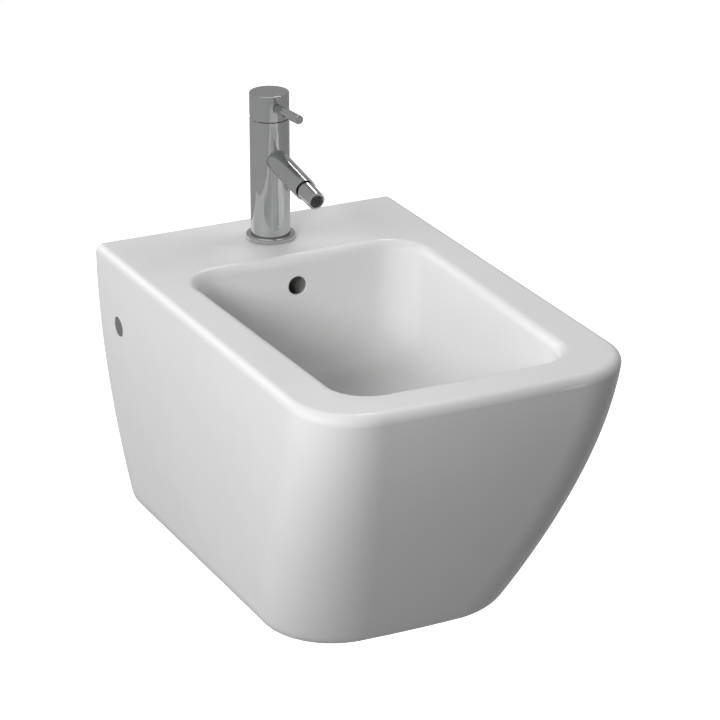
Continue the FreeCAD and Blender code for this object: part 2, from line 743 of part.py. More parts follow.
def mixer_body():
    """The cast body with its spout, cartridge chamber and waterways."""
    foot = rod(MIXER_R - MIXER_FOOT_GROOVE, BASE_RING_H, BASE_RING_H + MIXER_FOOT_GROOVE)
    column = rod(MIXER_R, BASE_RING_H + MIXER_FOOT_GROOVE, MIXER_TOP)
    spigot = rod(SPIGOT_R, -SPIGOT_DROP, BASE_RING_H)
    spout = spout_form(SPOUT_ROOT_R, SPOUT_END_R, 0.0, SPOUT_LENGTH)
    body = column.fuse([foot, spigot, spout])
    cuts = [rod(CHAMBER_R, CHAMBER_FLOOR, MIXER_TOP + PAST),
            spout_form(SPOUT_BORE_R, SPOUT_BORE_R, SPOUT_BORE_START, SPOUT_LENGTH),
            spout_form(SOCKET_BORE_R, SOCKET_BORE_R, BALL_REACH - SOCKET_DEPTH, SPOUT_LENGTH + PAST),
            rod(OUTLET_R, SPOUT_HEIGHT, CHAMBER_FLOOR + PAST, 0.0, -OUTLET_FORWARD),
            rod(FIXING_STUD_R + THREAD_GAP, -SPIGOT_DROP - PAST, FIXING_STUD_UP, 0.0, -STUD_FORWARD)]
    for side in (-1.0, 1.0):
        x = side * INLET_SPREAD
        cuts.append(rod(INLET_R, -SPIGOT_DROP - PAST, INLET_DEPTH - SPIGOT_DROP, x, INLET_BACK))
        cuts.append(rod(WATERWAY_R, 0.0, CHAMBER_FLOOR + PAST, x, INLET_BACK))
    return body.cut(cuts)


def fixing_stud():
    """The threaded stud that holds the mixer down."""
    return rod(FIXING_STUD_R, -FIXING_STUD_DOWN, FIXING_STUD_UP, 0.0, -STUD_FORWARD)


def horseshoe(high, thick):
    """A horseshoe plate under the deck, open to the back for the supply ends."""
    plate = rod(HORSESHOE_R, high - thick, high)
    half = INLET_SPREAD + INLET_R + HORSESHOE_MARGIN
    front = INLET_BACK - INLET_R - HORSESHOE_MARGIN
    mouth = block(-half, half, front, HORSESHOE_R + PAST, high - thick, high)
    stud = rod(FIXING_STUD_R + THREAD_GAP, high - thick, high, 0.0, -STUD_FORWARD)
    return plate.cut([mouth, stud])


def horseshoe_rubber():
    """The rubber horseshoe against the ceramic."""
    return horseshoe(-DECK_WALL, HORSESHOE_RUBBER_T)


def horseshoe_steel():
    """The steel horseshoe that spreads the nut's load."""
    return horseshoe(-DECK_WALL - HORSESHOE_RUBBER_T, HORSESHOE_STEEL_T)


def fixing_nut():
    """The long nut on the fixing stud."""
    high = -DECK_WALL - HORSESHOE_RUBBER_T - HORSESHOE_STEEL_T
    nut = hexagon(FIXING_NUT_AF, high - FIXING_NUT_H, high, FIXING_STUD_R + THREAD_GAP)
    return moved(nut, 0.0, -STUD_FORWARD, 0.0)


# Cartridge, on the mixer's own axis

def port_places():
    """The cartridge's three ports: hot, cold and mixed."""
    return [(-INLET_SPREAD, INLET_BACK, WATERWAY_R), (INLET_SPREAD, INLET_BACK, WATERWAY_R),
            (0.0, -OUTLET_FORWARD, OUTLET_R)]


def cartridge_base():
    """The cartridge's base plate, with seal grooves round its ports."""
    plate = rod(CARTRIDGE_R, CHAMBER_FLOOR, DISC_LOW)
    cuts = []
    for x, y, radius in port_places():
        cuts.append(rod(radius, CHAMBER_FLOOR, DISC_LOW, x, y))
        cuts.append(rod(PORT_SEAL_R, CHAMBER_FLOOR, CHAMBER_FLOOR + PORT_SEAL_T, x, y))
    return plate.cut(cuts)


def port_seals():
    """The three seal rings under the base plate."""
    outer = PORT_SEAL_R - THREAD_GAP
    rings = [ring(outer, outer - PORT_SEAL_WIDTH, CHAMBER_FLOOR, CHAMBER_FLOOR + PORT_SEAL_T, x, y)
             for x, y, _ in port_places()]
    return Part.makeCompound(rings)


def fixed_disc():
    """The lower ceramic disc with the three ports."""
    plate = rod(FIXED_DISC_R, DISC_LOW, DISC_LOW + FIXED_DISC_H)
    holes = [rod(DISC_PORT_R, DISC_LOW, DISC_LOW + FIXED_DISC_H, x * DISC_PORT_SHARE, y * DISC_PORT_SHARE)
             for x, y, _ in port_places()]
    return plate.cut(holes)


def moving_disc():
    """The upper ceramic disc, which slides and turns over the ports."""
    plate = rod(MOVING_DISC_R, MOVING_LOW, CARRIER_LOW, 0.0, DISC_BACK_OFFSET)
    return plate.cut(rod(MIX_POCKET_R, MOVING_LOW, MOVING_LOW + MIX_POCKET_H, 0.0, DISC_BACK_OFFSET))


def disc_carrier():
    """The driver on the upper disc, with a socket for the stem's ball."""
    plate = rod(CARRIER_R, CARRIER_LOW, CARRIER_LOW + CARRIER_H, 0.0, DISC_BACK_OFFSET)
    return plate.cut(rod(SOCKET_R, CARRIER_LOW, CARRIER_LOW + CARRIER_H))


def cartridge_housing():
    """The housing that holds the discs and guides the turret."""
    profile = [(DISC_CHAMBER_R, DISC_LOW), (CARTRIDGE_R, DISC_LOW), (CARTRIDGE_R, SHOULDER_HEIGHT),
               (NECK_R, SHOULDER_HEIGHT), (NECK_R, NECK_TOP), (TURRET_R + TURRET_GAP, NECK_TOP),
               (TURRET_R + TURRET_GAP, TURRET_LOW - TURRET_GAP), (DISC_CHAMBER_R, TURRET_LOW - TURRET_GAP)]
    return turned(profile)


def stem_turret():
    """The turret that turns with the handle and carries the stem's pin."""
    body = rod(TURRET_R, TURRET_LOW, TURRET_TOP)
    half = STEM_SLOT / 2.0
    reach = TURRET_R + PAST
    slot = block(-half, half, -reach, reach, TURRET_LOW + TURRET_FLOOR, TURRET_TOP + PAST)
    arm_swing = PIVOT_UP * math.tan(math.radians(TILT_MAX))
    arm_half = STEM_ARM_R / math.cos(math.radians(TILT_MAX)) + ARM_SLOT_GAP
    arm_slot = block(-arm_half, arm_half, -arm_swing - arm_half, arm_half, TURRET_LOW - PAST, PIVOT_HEIGHT)
    pin_hole = turned_about(rod(PIVOT_PIN_R + PIVOT_PIN_GAP, -TURRET_R, TURRET_R), Y_AXIS, 90.0)
    return body.cut([slot, arm_slot, moved(pin_hole, 0.0, 0.0, PIVOT_HEIGHT)])


def stem_pin():
    """The cross pin that the stem tilts on."""
    half = math.sqrt(TURRET_R ** 2 - PIVOT_PIN_R ** 2) - TURRET_GAP
    return moved(turned_about(rod(PIVOT_PIN_R, -half, half), Y_AXIS, 90.0), 0.0, 0.0, PIVOT_HEIGHT)


def lever_stem():
    """The stem: a square shank above the pin, an arm and a ball below it."""
    half = STEM_SIDE / 2.0
    hub_half = STEM_SLOT / 2.0 - TURRET_GAP
    shank = block(-half, half, -half, half, PIVOT_HEIGHT, STEM_TOP)
    hub = turned_about(rod(STEM_HUB_R, -hub_half, hub_half), Y_AXIS, 90.0)
    arm = rod(STEM_ARM_R, STEM_BALL_Z, PIVOT_HEIGHT)
    ball = Part.makeSphere(STEM_BALL_R, V(0, 0, STEM_BALL_Z))
    body = shank.fuse([moved(hub, 0.0, 0.0, PIVOT_HEIGHT), arm, ball])
    reach = hub_half + PAST
    hole = turned_about(rod(PIVOT_PIN_R + PIVOT_PIN_GAP, -reach, reach), Y_AXIS, 90.0)
    return body.cut(moved(hole, 0.0, 0.0, PIVOT_HEIGHT))


def cartridge_nut():
    """The slotted ring nut that holds the cartridge down."""
    body = ring(CHAMBER_R - NUT_GAP, NECK_R + NUT_BORE_GAP, SHOULDER_HEIGHT, NUT_TOP)
    half = NUT_SLOT / 2.0
    bar = block(-CHAMBER_R, CHAMBER_R, -half, half, NUT_TOP - NUT_SLOT_DEPTH, NUT_TOP)
    return body.cut([bar, turned_about(bar, Z_AXIS, 90.0)])


def dome_cover():
    """The dome over the cartridge, seen in the wedge behind the handle."""
    centre = V(0, 0, PIVOT_HEIGHT)
    shell = Part.makeSphere(DOME_R, centre).cut(Part.makeSphere(DOME_R - DOME_WALL, centre))
    top = PIVOT_HEIGHT + DOME_R * math.cos(math.radians(DOME_OPENING_ANGLE))
    return shell.common(rod(DOME_R + PAST, NUT_TOP, top))


# Handle, on the mixer's own axis

def lever_form(radius, start, end):
    """A round form on the lever's axis, from a start to an end measured out from the mixer's axis."""
    rise = math.radians(LEVER_RISE)
    aim = V(0, -math.cos(rise), math.sin(rise))
    face = V(0, -MIXER_R, LEVER_HEIGHT)
    return Part.makeCylinder(radius, end - start, face + aim * (start - MIXER_R), aim)


def grub_form(radius, start, end):
    """A round form on the grub screw's axis, behind the mixer's axis."""
    return moved(turned_about(rod(radius, start, end), X_AXIS, -90.0), 0.0, 0.0, GRUB_HEIGHT)


def handle_cap():
    """The round handle, relieved at the back so that it can tilt over the body."""
    shell = rounded_edge_rod(MIXER_R, HANDLE_LOW, HANDLE_TOP, HANDLE_EDGE_R)
    roof = HANDLE_TOP - HANDLE_ROOF
    inside = ring(MIXER_R - HANDLE_WALL, HANDLE_BOSS_R, HANDLE_BOSS_LOW, roof)
    below = rod(MIXER_R - HANDLE_WALL, HANDLE_LOW - PAST, HANDLE_BOSS_LOW)
    half = STEM_SIDE / 2.0 + STEM_FIT
    socket = block(-half, half, -half, half, HANDLE_BOSS_LOW - PAST, STEM_TOP + STEM_FIT)
    under = block(-FAR, FAR, -FAR, FAR, -FAR, MIXER_TOP + HANDLE_TILT_GAP)
    relief = turned_about(under, X_AXIS, TILT_MAX, V(0, 0, PIVOT_HEIGHT))
    tang_end = HANDLE_BOSS_R - LEVER_TANG_LENGTH - LEVER_TANG_GAP
    cuts = [inside, below, socket, relief,
            lever_form(LEVER_R + LEVER_HOLE_GAP, HANDLE_BOSS_R, MIXER_R + LEVER_R),
            lever_form(LEVER_TANG_R + THREAD_GAP, tang_end, MIXER_R),
            grub_form(GRUB_R + THREAD_GAP, 0.0, MIXER_R - HANDLE_WALL),
            grub_form(GRUB_PLUG_R + THREAD_GAP, MIXER_R - HANDLE_WALL - PAST, MIXER_R + PAST)]
    return shell.cut(cuts)


def lever_pin():
    """The pin lever, with a tang in the handle's boss."""
    root = HANDLE_BOSS_R + LEVER_HOLE_GAP
    end = MIXER_R + LEVER_REACH
    bar = lever_form(LEVER_R, root, end)
    tip = edges_where(bar, lambda box: box.YMin < -end + LEVER_R)
    bar = bar.makeFillet(LEVER_TIP_R, [edge for edge in tip if edge.isClosed()])
    return bar.fuse(lever_form(LEVER_TANG_R, HANDLE_BOSS_R - LEVER_TANG_LENGTH, root))


def grub_screw():
    """The grub screw that clamps the handle on the stem."""
    start = STEM_SIDE / 2.0 + THREAD_GAP
    end = start + GRUB_LENGTH
    body = grub_form(GRUB_R, start, end)
    socket = turned_about(hexagon(GRUB_SOCKET_AF, end - GRUB_SOCKET_DEPTH, end), X_AXIS, -90.0)
    return body.cut(moved(socket, 0.0, 0.0, GRUB_HEIGHT))


def grub_plug():
    """The little plug over the grub screw's hole."""
    outer = MIXER_R - GRUB_PLUG_RECESS
    return grub_form(GRUB_PLUG_R, outer - GRUB_PLUG_T, outer)


# Swivel nozzle, along the spout's axis from the ball's centre

def swivel_ring():
    """The ring in the spout's end that holds the ball."""
    body = rod(SOCKET_BORE_R - THREAD_GAP, -RING_BACK, BALL_INSET)
    seat = Part.makeSphere(BALL_R + BALL_GAP)
    return body.cut([seat, rod(BALL_R + BALL_GAP, -RING_BACK - PAST, 0.0)])


def ball_seal():
    """The slip seal behind the ball."""
    body = ring(SOCKET_BORE_R - 2.0 * BALL_GAP, BALL_SEAL_BORE_R, -SOCKET_DEPTH + BALL_GAP, -BALL_SEAL_FRONT)
    return body.cut(Part.makeSphere(BALL_R + BALL_GAP))


def swivel_nozzle():
    """The nozzle with its ball, which swivels in the spout's end."""
    ball = Part.makeSphere(BALL_R).common(rod(BALL_R + PAST, -BALL_BACK, BALL_INSET))
    neck = rod(NOZZLE_NECK_R, 0.0, NOZZLE_SHOULDER + PAST)
    length = NOZZLE_TIP - NOZZLE_SHOULDER
    barrel = Part.makeCone(NOZZLE_SHOULDER_R, NOZZLE_TIP_R, length, V(0, 0, NOZZLE_SHOULDER))
    tip = edges_where(barrel, lambda box: box.ZMin > NOZZLE_TIP - NEAR)
    barrel = barrel.makeFillet(NOZZLE_TIP_EDGE_R, tip)
    body = barrel.fuse([neck, ball])
    return body.cut([rod(NOZZLE_BORE_R, -BALL_BACK - PAST, NOZZLE_TIP),
                     rod(AERATOR_R + THREAD_GAP, AERATOR_BACK - AERATOR_SEAL_T, NOZZLE_TIP + PAST)])


def aerator_insert():
    """The aerator: a cup with a holed face at its outlet."""
    body = rod(AERATOR_R, AERATOR_BACK, AERATOR_TIP)
    face = AERATOR_TIP - AERATOR_FACE_T
    cuts = [rod(AERATOR_POCKET_R, AERATOR_BACK - PAST, face)]
    for lap in range(AERATOR_RINGS + 1):
        count = max(6 * lap, 1)
        for i in range(count):
            angle = 2.0 * math.pi * i / count
            x = lap * AERATOR_HOLE_PITCH * math.cos(angle)
            y = lap * AERATOR_HOLE_PITCH * math.sin(angle)
            cuts.append(rod(AERATOR_HOLE_R, face - PAST, AERATOR_TIP + PAST, x, y))
    return body.cut(cuts)


def aerator_seal():
    """The seal ring behind the aerator."""
    return ring(AERATOR_R, AERATOR_SEAL_BORE_R, AERATOR_BACK - AERATOR_SEAL_T, AERATOR_BACK)


# Waste, on its own axis from the flange's underside

def waste_flange():
    """The flange and threaded tube, with a throat for the plug and slots for the overflow."""
    throat_foot = WASTE_TUBE_BORE_R - THROAT_R - THROAT_DEPTH
    profile = [(THROAT_R, FLANGE_T), (FLANGE_R - FLANGE_T / 2.0, FLANGE_T), (FLANGE_R, FLANGE_T / 2.0),
               (FLANGE_R, 0.0), (WASTE_TUBE_R, 0.0), (WASTE_TUBE_R, -WASTE_TUBE_LENGTH),
               (GUIDE_SEAT_BORE_R, -WASTE_TUBE_LENGTH), (GUIDE_SEAT_BORE_R, -GUIDE_SEAT),
               (WASTE_TUBE_BORE_R, -GUIDE_SEAT), (WASTE_TUBE_BORE_R, throat_foot), (THROAT_R, -THROAT_DEPTH)]
    half = OVERFLOW_SLOT_W / 2.0
    low = COLLAR_FOOT + DUCT_WALL
    reach = WASTE_TUBE_R + PAST
    slot = block(-half, half, -reach, reach, low, low + OVERFLOW_SLOT_H)
    return turned(profile).cut(slot)


def flange_seal():
    """The seal between the flange and the bowl."""
    return ring(FLANGE_R, FLANGE_SEAL_INNER_R, -FLANGE_SEAL_T, 0.0)


def lower_seal():
    """The rubber seal under the ceramic collar."""
    return ring(LOWER_SEAL_R, WASTE_TUBE_R + THREAD_GAP, COLLAR_FOOT - LOWER_SEAL_T, COLLAR_FOOT)


def lower_washer():
    """The slip washer between the seal and the nut."""
    high = COLLAR_FOOT - LOWER_SEAL_T
    return ring(LOWER_SEAL_R, WASTE_TUBE_R + THREAD_GAP, high - LOWER_WASHER_T, high)


def back_nut():
    """The nut that clamps the waste."""
    high = COLLAR_FOOT - LOWER_SEAL_T - LOWER_WASHER_T
    return hexagon(BACK_NUT_AF, high - BACK_NUT_H, high, WASTE_TUBE_R + THREAD_GAP)


def waste_tail():
    """The tail that a trap pushes on to."""
    top = -WASTE_TUBE_LENGTH
    spigot_r = GUIDE_SEAT_BORE_R - THREAD_GAP
    profile = [(TAIL_BORE_R, top + TAIL_SPIGOT_H), (spigot_r, top + TAIL_SPIGOT_H), (spigot_r, top),
               (WASTE_TUBE_R, top), (WASTE_TUBE_R, top - TAIL_FLANGE_T), (TAIL_R, top - TAIL_FLANGE_T),
               (TAIL_R, top - TAIL_FLANGE_T - TAIL_LENGTH), (TAIL_BORE_R, top - TAIL_FLANGE_T - TAIL_LENGTH)]
    return turned(profile)


def plug_guide():
    """The spoked guide that the plug's spindle slides in."""
    high = -GUIDE_SEAT + GUIDE_H
    outer = WASTE_TUBE_BORE_R - THREAD_GAP
    half = GUIDE_SPOKE_W / 2.0
    parts = [rod(GUIDE_HUB_R, -GUIDE_SEAT, high)]
    for i in range(GUIDE_SPOKES):
        spoke = block(0.0, outer - GUIDE_RING_WALL / 2.0, -half, half, -GUIDE_SEAT, high)
        parts.append(turned_about(spoke, Z_AXIS, 360.0 * i / GUIDE_SPOKES))
    body = ring(outer, outer - GUIDE_RING_WALL, -GUIDE_SEAT, high).fuse(parts)
    return body.cut(rod(SPINDLE_R + SPINDLE_GAP, -GUIDE_SEAT - PAST, high + PAST))


def plug_cap():
    """The crowned plug, raised as when open, with a boss under it."""
    edge = PLUG_LOW + PLUG_T
    crown_r = (PLUG_R ** 2 + PLUG_CROWN ** 2) / (2.0 * PLUG_CROWN)
    disc = rod(PLUG_R, PLUG_LOW, edge + PLUG_CROWN)
    crown = Part.makeSphere(crown_r, V(0, 0, edge + PLUG_CROWN - crown_r))
    boss = rod(PLUG_BOSS_R, PLUG_LOW - PLUG_BOSS_H, PLUG_LOW)
    hole = rod(SPINDLE_R + THREAD_GAP, PLUG_LOW - PLUG_BOSS_H - PAST, PLUG_LOW)
    return disc.common(crown).fuse(boss).cut(hole)


def plug_seal():
    """The rubber ring under the plug, which closes the throat."""
    return ring(THROAT_R - PLUG_SEAL_GAP, PLUG_BOSS_R + THREAD_GAP, PLUG_LOW - PLUG_SEAL_T, PLUG_LOW)


def plug_spindle():
    """The spindle that carries the plug in its guide."""
    return rod(SPINDLE_R, -GUIDE_SEAT - SPINDLE_TAIL, PLUG_LOW)


def plug_spring():
    """The space of the spring that lifts the plug: a sleeve between the guide's hub and the boss."""
    return ring(SPRING_R, SPRING_R - SPRING_WALL, -GUIDE_SEAT + GUIDE_H, PLUG_LOW - PLUG_BOSS_H)


# The whole bidet, one node for each piece

def all_pieces():
    """Every piece by name, in its place."""
    pieces = {"ceramic_body": ceramic_body()}
    for name, make in (("wall_bracket", wall_bracket), ("side_cap", side_cap)):
        pieces["right_" + name] = make()
        pieces["left_" + name] = mirrored(make())
    for name, make in (("bracket_washers", bracket_washer), ("bracket_nuts", bracket_nut),
                       ("side_screw_washers", screw_washer), ("side_screws", side_screw)):
        pieces[name] = both(make())
    for make in (base_ring, base_seal, mixer_body, fixing_stud, horseshoe_rubber, horseshoe_steel, fixing_nut,
                 cartridge_base, port_seals, fixed_disc, moving_disc, disc_carrier, cartridge_housing,
                 stem_turret, stem_pin, lever_stem, cartridge_nut, dome_cover, handle_cap, lever_pin,
                 grub_screw, grub_plug):
        pieces[make.__name__] = on_deck(make())
    for make in (swivel_ring, ball_seal, swivel_nozzle, aerator_insert, aerator_seal):
        pieces[make.__name__] = on_spout(make())
    for make in (waste_flange, flange_seal, lower_seal, lower_washer, back_nut, waste_tail, plug_guide,
                 plug_cap, plug_seal, plug_spindle, plug_spring):
        pieces[make.__name__] = at_drain(make())
    return pieces


os.makedirs("parts", exist_ok=True)
for node, shape in all_pieces().items():
    shape.exportStep("parts/" + node + ".step")
    print(node, "solids", len(shape.Solids), "valid", shape.isValid(), "cm3", round(shape.Volume / 1000.0, 3))
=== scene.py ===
"""Looks of a wall-hung bidet with its single-lever mixer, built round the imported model."""
import logging
import math
from dataclasses import dataclass
from enum import Enum

import bpy
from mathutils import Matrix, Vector


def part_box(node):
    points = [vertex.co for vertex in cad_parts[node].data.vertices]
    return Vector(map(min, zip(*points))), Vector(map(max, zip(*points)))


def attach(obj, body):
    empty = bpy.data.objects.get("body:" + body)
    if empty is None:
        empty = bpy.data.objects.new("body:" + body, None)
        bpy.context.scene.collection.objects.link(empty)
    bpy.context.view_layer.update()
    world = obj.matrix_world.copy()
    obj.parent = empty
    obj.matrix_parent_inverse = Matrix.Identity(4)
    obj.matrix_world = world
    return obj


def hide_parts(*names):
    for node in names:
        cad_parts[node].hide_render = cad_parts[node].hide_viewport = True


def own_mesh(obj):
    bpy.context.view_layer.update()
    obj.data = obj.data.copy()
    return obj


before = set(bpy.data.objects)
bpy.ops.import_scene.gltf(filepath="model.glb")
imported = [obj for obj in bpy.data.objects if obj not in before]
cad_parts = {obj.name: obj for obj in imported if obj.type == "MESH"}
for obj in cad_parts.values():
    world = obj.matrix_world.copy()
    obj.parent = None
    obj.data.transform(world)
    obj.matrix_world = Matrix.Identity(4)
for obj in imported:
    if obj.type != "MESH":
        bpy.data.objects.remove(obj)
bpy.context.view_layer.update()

LOG = logging.getLogger("bidet")

Colour = tuple[float, float, float]
Point = tuple[float, float, float]
Range = tuple[float, float]
Socket = bpy.types.NodeSocket

MM = 0.001
MERGE_GAP = 1e-6
SMOOTH_DEG = 35.0
WHITE = (1.0, 1.0, 1.0, 1.0)
OPAQUE = 1.0

# The sockets of a mix node that blends colours, by their numbers.
MIX_SHARE, MIX_FIRST, MIX_SECOND, MIX_RESULT = 0, 6, 7, 2

# The whole of a level's range, the part that most of a noise fills, and a narrower part of that.
FULL: Range = (0.0, 1.0)
MOST: Range = (0.3, 0.7)
MIDDLE: Range = (0.35, 0.65)


class Body(Enum):
    """The bodies that new pieces ride on."""

    BIDET = "bidet"


class Slot(Enum):
    """The record's material slots named for new pieces."""

    STEEL = "zinc_steel"


class Axis(Enum):
    """The three Object coordinates."""

    X = "X"
    Y = "Y"
    Z = "Z"


class Math(Enum):
    """What a math node works out."""

    TOTAL = "ADD"
    PRODUCT = "MULTIPLY"
    LARGEST = "MAXIMUM"
    WITHIN = "COMPARE"


@dataclass(frozen=True)
class Cloud:
    """A noise in space: its clouds per metre, its octaves and its scale along each axis."""

    scale: float
    detail: float = 2.0
    stretch: Point = (1.0, 1.0, 1.0)


@dataclass(frozen=True)
class Relief:
    """A shallow relief: its share and its height in metres."""

    share: float
    depth: float


class Nodes:
    """The nodes of one material or of the world."""

    def __init__(self, tree: bpy.types.NodeTree) -> None:
        """Take a node tree in hand.

        Args:
            tree: The material's or the world's own tree.
        """
        self.nodes = tree.nodes
        self.links = tree.links

    def put(self, socket: Socket, value: object) -> None:
        """Feed a socket from another one, or set its value.

        Args:
            socket: The socket to feed or set.
            value: A socket that feeds it, or its value.
        """
        if isinstance(value, Socket):
            self.links.new(value, socket)
        else:
            socket.default_value = value

    def node(self, kind: str, inputs: dict[str | int, object],
             **settings: object) -> bpy.types.Node:
        """Add a node with its properties and inputs.

        Args:
            kind: Blender's name of the node.
            inputs: Input names or numbers, each with a value or a socket that feeds it.
            settings: The node's own properties.

        Returns:
            The new node.
        """
        made = self.nodes.new(kind)
        for key, value in settings.items():
            setattr(made, key, value)
        for key, value in inputs.items():
            self.put(made.inputs[key], value)
        return made

    def math(self, what: Math, *values: object) -> Socket:
        """Work out one value from two or three.

        Args:
            what: What to work out.
            values: The values, each a number or a socket.

        Returns:
            The result.
        """
        inputs = dict(enumerate(values))
        return self.node("ShaderNodeMath", inputs, operation=what.value).outputs[0]

    def ranged(self, level: Socket, start: Range, end: Range) -> Socket:
        """Bring a level from one range to another.

        Args:
            level: The level to bring.
            start: Its lowest and highest value.
            end: The values wanted for these.

        Returns:
            The new level, held within its range.
        """
        inputs = {"Value": level, "From Min": start[0], "From Max": start[1],
                  "To Min": end[0], "To Max": end[1]}
        return self.node("ShaderNodeMapRange", inputs).outputs["Result"]


class ShaderTree(Nodes):
    """One finish's nodes round its principled shader, read on Object coordinates."""

    ring_wobble: float = 1.5

    def __init__(self, name: str) -> None:
        """Start an empty material of that name.

        Args:
            name: The finish's name.
        """
        self.material = bpy.data.materials.new(name)
        self.material.use_nodes = True
        super().__init__(self.material.node_tree)
        self.shader = self.nodes["Principled BSDF"]
        self.place = self.nodes.new("ShaderNodeTexCoord").outputs["Object"]

    def noise(self, cloud: Cloud) -> Socket:
        """Lay cloudy noise in space.

        Args:
            cloud: The noise's size and detail.

        Returns:
            The noise's level, about 0.3 to 0.7.
        """
        place = self.node("ShaderNodeMapping", {"Vector": self.place, "Scale": cloud.stretch})
        inputs = {"Vector": place.outputs["Vector"], "Scale": cloud.scale, "Detail": cloud.detail}
        return self.node("ShaderNodeTexNoise", inputs).outputs["Fac"]

    def cells(self, scale: float) -> Socket:
        """Lay crystal-like cells in space, each of one level.

        Args:
            scale: Cells per metre.

        Returns:
            The cell's colour as a level.
        """
        inputs = {"Vector": self.place, "Scale": scale}
        return self.node("ShaderNodeTexVoronoi", inputs).outputs["Color"]

    def turned(self, per_metre: float) -> Socket:
        """Lay fine rings round the upright axis, as a lathe leaves them.

        Args:
            per_metre: The rings' scale, per metre of radius.

        Returns:
            The rings' level, 0 to 1.
        """
        inputs = {"Vector": self.place, "Scale": per_metre, "Distortion": self.ring_wobble}
        wave = self.node("ShaderNodeTexWave", inputs, wave_type="RINGS", rings_direction="Z")
        return wave.outputs["Fac"]

    def blend(self, share: Socket, first: Colour | Socket, second: Colour | Socket) -> Socket:
        """Blend two colours.

        Args:
            share: The second colour's share.
            first: A colour or a socket.
            second: A colour or a socket.

        Returns:
            The blended colour.
        """
        both = [value if isinstance(value, Socket) else (*value, OPAQUE)
                for value in (first, second)]
        inputs = {MIX_SHARE: share, MIX_FIRST: both[0], MIX_SECOND: both[1]}
        return self.node("ShaderNodeMix", inputs, data_type="RGBA").outputs[MIX_RESULT]

    def along(self, axis: Axis) -> Socket:
        """Give one Object coordinate, in metres."""
        return self.node("ShaderNodeSeparateXYZ", {"Vector": self.place}).outputs[axis.value]

    def within(self, axis: Axis, span: Range) -> Socket:
        """Tell where one Object coordinate lies in a span.

        Args:
            axis: The coordinate.
            span: The span's lowest and highest value, in metres.

        Returns:
            1 inside the span, 0 elsewhere.
        """
        middle = (span[0] + span[1]) / 2.0
        reach = (span[1] - span[0]) / 2.0
        return self.math(Math.WITHIN, self.along(axis), middle, reach)

    def feed(self, socket: str, level: object) -> None:
        """Feed or set one of the principled shader's sockets, by its name."""
        self.put(self.shader.inputs[socket], level)

    def emboss(self, level: Socket, relief: Relief) -> None:
        """Feed the shader's normal with a relief.

        Args:
            level: The relief's height, 0 to 1.
            relief: Its share and depth.
        """
        inputs = {"Height": level, "Strength": relief.share, "Distance": relief.depth}
        self.feed("Normal", self.node("ShaderNodeBump", inputs).outputs["Normal"])


@dataclass(frozen=True)
class Finish:
    """A surface finish: its name, its two tones and its range of roughness."""

    name: str
    tone: Colour
    other: Colour
    rough: Range

    def material(self) -> bpy.types.Material:
        """Make the finish's material, or give the one made before.

        Returns:
            The node material.
        """
        made = bpy.data.materials.get(self.name)
        if made is None:
            tree = ShaderTree(self.name)
            self.paint(tree)
            made = tree.material
        return made

    def paint(self, tree: ShaderTree) -> None:
        """Lay the finish's nodes.

        Args:
            tree: The material's nodes.
        """
        raise NotImplementedError

    def toned(self, tree: ShaderTree, cloud: Cloud, span: Range = MIDDLE) -> Socket:
        """Let the colour drift between the finish's two tones.

        Args:
            tree: The material's nodes.
            cloud: The noise that it drifts with.
            span: The noise's levels at the two tones.

        Returns:
            The colour.
        """
        return tree.blend(tree.ranged(tree.noise(cloud), span, FULL), self.tone, self.other)


@dataclass(frozen=True)
class Glaze(Finish):
    """White glaze, with bare clay on the face that meets the wall and painted shade in the
    overflow passage.
    """

    drift: Cloud = Cloud(7.0)
    polish: Cloud = Cloud(38.0, 3.0)
    ripple: Cloud = Cloud(30.0)
    ripple_relief: Relief = Relief(0.05, 0.002)
    clay: Colour = (0.72, 0.69, 0.64)
    clay_shade: float = 0.9
    clay_grain: Cloud = Cloud(420.0, 4.0)
    clay_matt: float = 0.7
    clay_depth: float = 0.4 * MM
    # Painted shade: a dark grey that stands in for the shade inside the overflow's passage.
    duct_painted_shade: Colour = (0.30, 0.295, 0.285)
    duct_half: float = 0.0135
    duct_y: Range = (-0.1300, -0.1080)
    duct_below_rim: Range = (0.060, 0.018)

    def duct(self, tree: ShaderTree) -> Socket:
        """Tell the overflow's passage, which takes painted shade.

        Args:
            tree: The material's nodes.

        Returns:
            1 inside the passage, 0 elsewhere.
        """
        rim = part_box("ceramic_body")[1][2]
        low, high = (rim - below for below in self.duct_below_rim)
        across = tree.within(Axis.X, (-self.duct_half, self.duct_half))
        deep = tree.within(Axis.Y, self.duct_y)
        tall = tree.within(Axis.Z, (low, high))
        return tree.math(Math.PRODUCT, tree.math(Math.PRODUCT, across, deep), tall)

    def paint(self, tree: ShaderTree) -> None:
        """Lay the glaze, the painted shade in the overflow's passage and the bare back.

        Args:
            tree: The material's nodes.
        """
        # The overflow's passage is painted dark grey, as painted shade for the shade inside it.
        glazed = tree.blend(self.duct(tree), self.toned(tree, self.drift), self.duct_painted_shade)
        back = (-2.0 * self.clay_depth, -self.clay_depth)
        bare = tree.ranged(tree.along(Axis.Y), back, FULL)
        grain = tree.ranged(tree.noise(self.clay_grain), MOST, FULL)
        clay = tree.blend(grain, self.clay, tuple(value * self.clay_shade for value in self.clay))
        tree.feed("Base Color", tree.blend(bare, glazed, clay))
        shine = tree.ranged(tree.noise(self.polish), MOST, self.rough)
        matt = tree.math(Math.PRODUCT, bare, self.clay_matt)
        tree.feed("Roughness", tree.math(Math.TOTAL, shine, matt))
        tree.emboss(tree.noise(self.ripple), self.ripple_relief)


